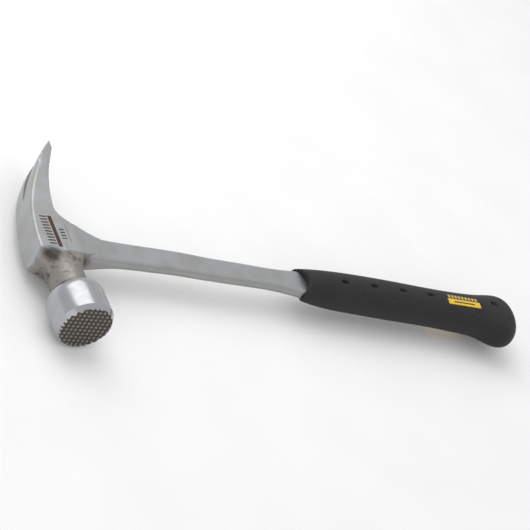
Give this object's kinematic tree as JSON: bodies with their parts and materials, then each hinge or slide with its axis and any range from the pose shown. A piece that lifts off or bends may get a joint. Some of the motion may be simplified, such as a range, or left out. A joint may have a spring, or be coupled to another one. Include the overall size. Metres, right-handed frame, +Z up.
{
  "type": "framing hammer",
  "caption": "One-piece steel framing hammer with a milled striking face, straight rip claw, flat shank and moulded rubber grip.",
  "frame": {"origin": "on the surface the hammer lies on, under the middle of its overall length and width", "axes": "+X along the handle from the head to the butt, +Y towards the claws, +Z up, square to the cheek it lies with"},
  "size_m": [0.3995, 0.1592, 0.038],
  "materials": {
    "forged_steel": "satin",
    "damper_rubber": "matte",
    "core_plastic": "matte",
    "grip_rubber": "matte",
    "badge_plastic": "gloss"
  },
  "bodies": {
    "root": {"forged_hammer": "forged_steel", "fork_damper": "damper_rubber", "inner_grip_core": "core_plastic", "outer_grip": "grip_rubber", "upper_side_badge": "badge_plastic", "lower_side_badge": "badge_plastic"}
  },
  "joints": []
}
